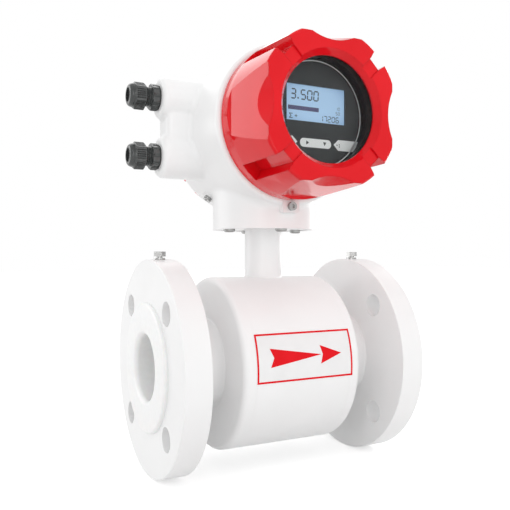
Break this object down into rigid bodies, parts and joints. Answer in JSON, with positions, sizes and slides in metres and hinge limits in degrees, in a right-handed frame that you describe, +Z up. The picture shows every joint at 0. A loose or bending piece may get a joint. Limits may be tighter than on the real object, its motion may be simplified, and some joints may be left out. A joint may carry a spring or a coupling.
{
  "type": "electromagnetic flow meter",
  "caption": "Flanged DN50 magnetic flow meter with a coil housing, a neck and a round display head with screw-on covers and cable glands.",
  "frame": {"origin": "centre of the flow bore, midway between the flange faces", "axes": "+X along the flow, +Z up the neck to the converter, the display faces -Y"},
  "size_m": [0.2144, 0.1875, 0.3335],
  "materials": {
    "white_paint": "smooth powder coat",
    "red_paint": "glossy enamel",
    "ptfe": "waxy white PTFE",
    "steel": "bright stainless",
    "dull_steel": "plain steel",
    "copper": "enamelled winding wire",
    "black_nylon": "moulded nylon",
    "black_rubber": "smooth rubber",
    "clear_glass": "clear",
    "panel_black": "satin film",
    "lcd_blue": "backlit display",
    "retainer_metal": "black anodised",
    "circuit_board": "solder mask",
    "component_black": "moulded",
    "terminal_plastic": "moulded",
    "lead_jacket": "sheathed lead",
    "bush_plastic": "machined",
    "label_white": "printed film",
    "print_red": "printed"
  },
  "bodies": {
    "meter": {"base_standoffs": "dull_steel", "board_standoffs": "dull_steel", "coil_housing_barrel": "white_paint", "coil_housing_end_inlet": "white_paint", "coil_housing_end_outlet": "white_paint", "converter_housing": "white_paint", "cover_lock_screw": "steel", "display_board": "circuit_board", "display_panel": "panel_black", "display_standoffs": "dull_steel", "electrode_bush_front": "bush_plastic", "electrode_bush_rear": "bush_plastic", "electrode_front": "steel", "electrode_nut_front": "steel", "electrode_nut_rear": "steel", "electrode_rear": "steel", "field_coil_bottom": "copper", "field_coil_top": "copper", "flange_inlet": "white_paint", "flange_outlet": "white_paint", "flow_label": "label_white", "flow_print": "print_red", "gland_body_lower": "black_nylon", "gland_body_upper": "black_nylon", "gland_seal_lower": "black_rubber", "gland_seal_upper": "black_rubber", "housing_earth_screw": "steel", "lcd_module": "lcd_blue", "lead_block": "component_black", "liner": "ptfe", "main_board": "circuit_board", "measuring_tube": "white_paint", "neck_gasket": "black_rubber", "neck_plate": "white_paint", "neck_screws": "steel", "neck_tube": "white_paint", "panel_spacers": "dull_steel", "pole_core_bottom": "dull_steel", "pole_core_top": "dull_steel", "power_board": "circuit_board", "return_yoke": "dull_steel", "rim_earth_screws": "steel", "rim_earth_washers": "steel", "signal_lead": "lead_jacket", "terminal_block": "terminal_plastic", "terminal_screws": "steel", "transformer": "component_black"},
    "front_seal": {"front_oring": "black_rubber"},
    "front_lid": {"front_cover": "red_paint", "window_glass": "clear_glass", "glass_seal": "black_rubber", "glass_retainer": "retainer_metal"},
    "rear_seal": {"rear_oring": "black_rubber"},
    "rear_lid": {"rear_cover": "red_paint"},
    "upper_insert": {"gland_insert_upper": "black_rubber"},
    "upper_nut": {"gland_nut_upper": "black_nylon"},
    "lower_insert": {"gland_insert_lower": "black_rubber"},
    "lower_nut": {"gland_nut_lower": "black_nylon"}
  },
  "joints": [
    {"name": "front_cover_travel", "type": "slide", "parent": "meter", "child": "front_seal", "axis": [0, -1, 0], "range_m": [0, 0.01]},
    {"name": "front_cover_turn", "type": "hinge", "parent": "front_seal", "child": "front_lid", "pos_m": [0, -0.047, 0.1871], "axis": [0, -1, 0], "range_deg": [0, 1800]},
    {"name": "rear_cover_travel", "type": "slide", "parent": "meter", "child": "rear_seal", "axis": [0, 1, 0], "range_m": [0, 0.01]},
    {"name": "rear_cover_turn", "type": "hinge", "parent": "rear_seal", "child": "rear_lid", "pos_m": [0, 0.047, 0.1871], "axis": [0, 1, 0], "range_deg": [0, 1800]},
    {"name": "upper_gland_travel", "type": "slide", "parent": "meter", "child": "upper_insert", "axis": [-1, 0, 0], "range_m": [-0.00225, 0.006]},
    {"name": "upper_gland_turn", "type": "hinge", "parent": "upper_insert", "child": "upper_nut", "pos_m": [-0.1, 0.014, 0.2105], "axis": [-1, 0, 0], "range_deg": [-540, 1440]},
    {"name": "lower_gland_travel", "type": "slide", "parent": "meter", "child": "lower_insert", "axis": [-1, 0, 0], "range_m": [-0.00225, 0.006]},
    {"name": "lower_gland_turn", "type": "hinge", "parent": "lower_insert", "child": "lower_nut", "pos_m": [-0.1, 0.014, 0.1637], "axis": [-1, 0, 0], "range_deg": [-540, 1440]}
  ],
  "couplings": [
    {"joint": "front_cover_travel", "follows": "front_cover_turn", "m_per_rad": 0.0003183},
    {"joint": "rear_cover_travel", "follows": "rear_cover_turn", "m_per_rad": 0.0003183},
    {"joint": "upper_gland_travel", "follows": "upper_gland_turn", "m_per_rad": 0.00023873},
    {"joint": "lower_gland_travel", "follows": "lower_gland_turn", "m_per_rad": 0.00023873}
  ]
}
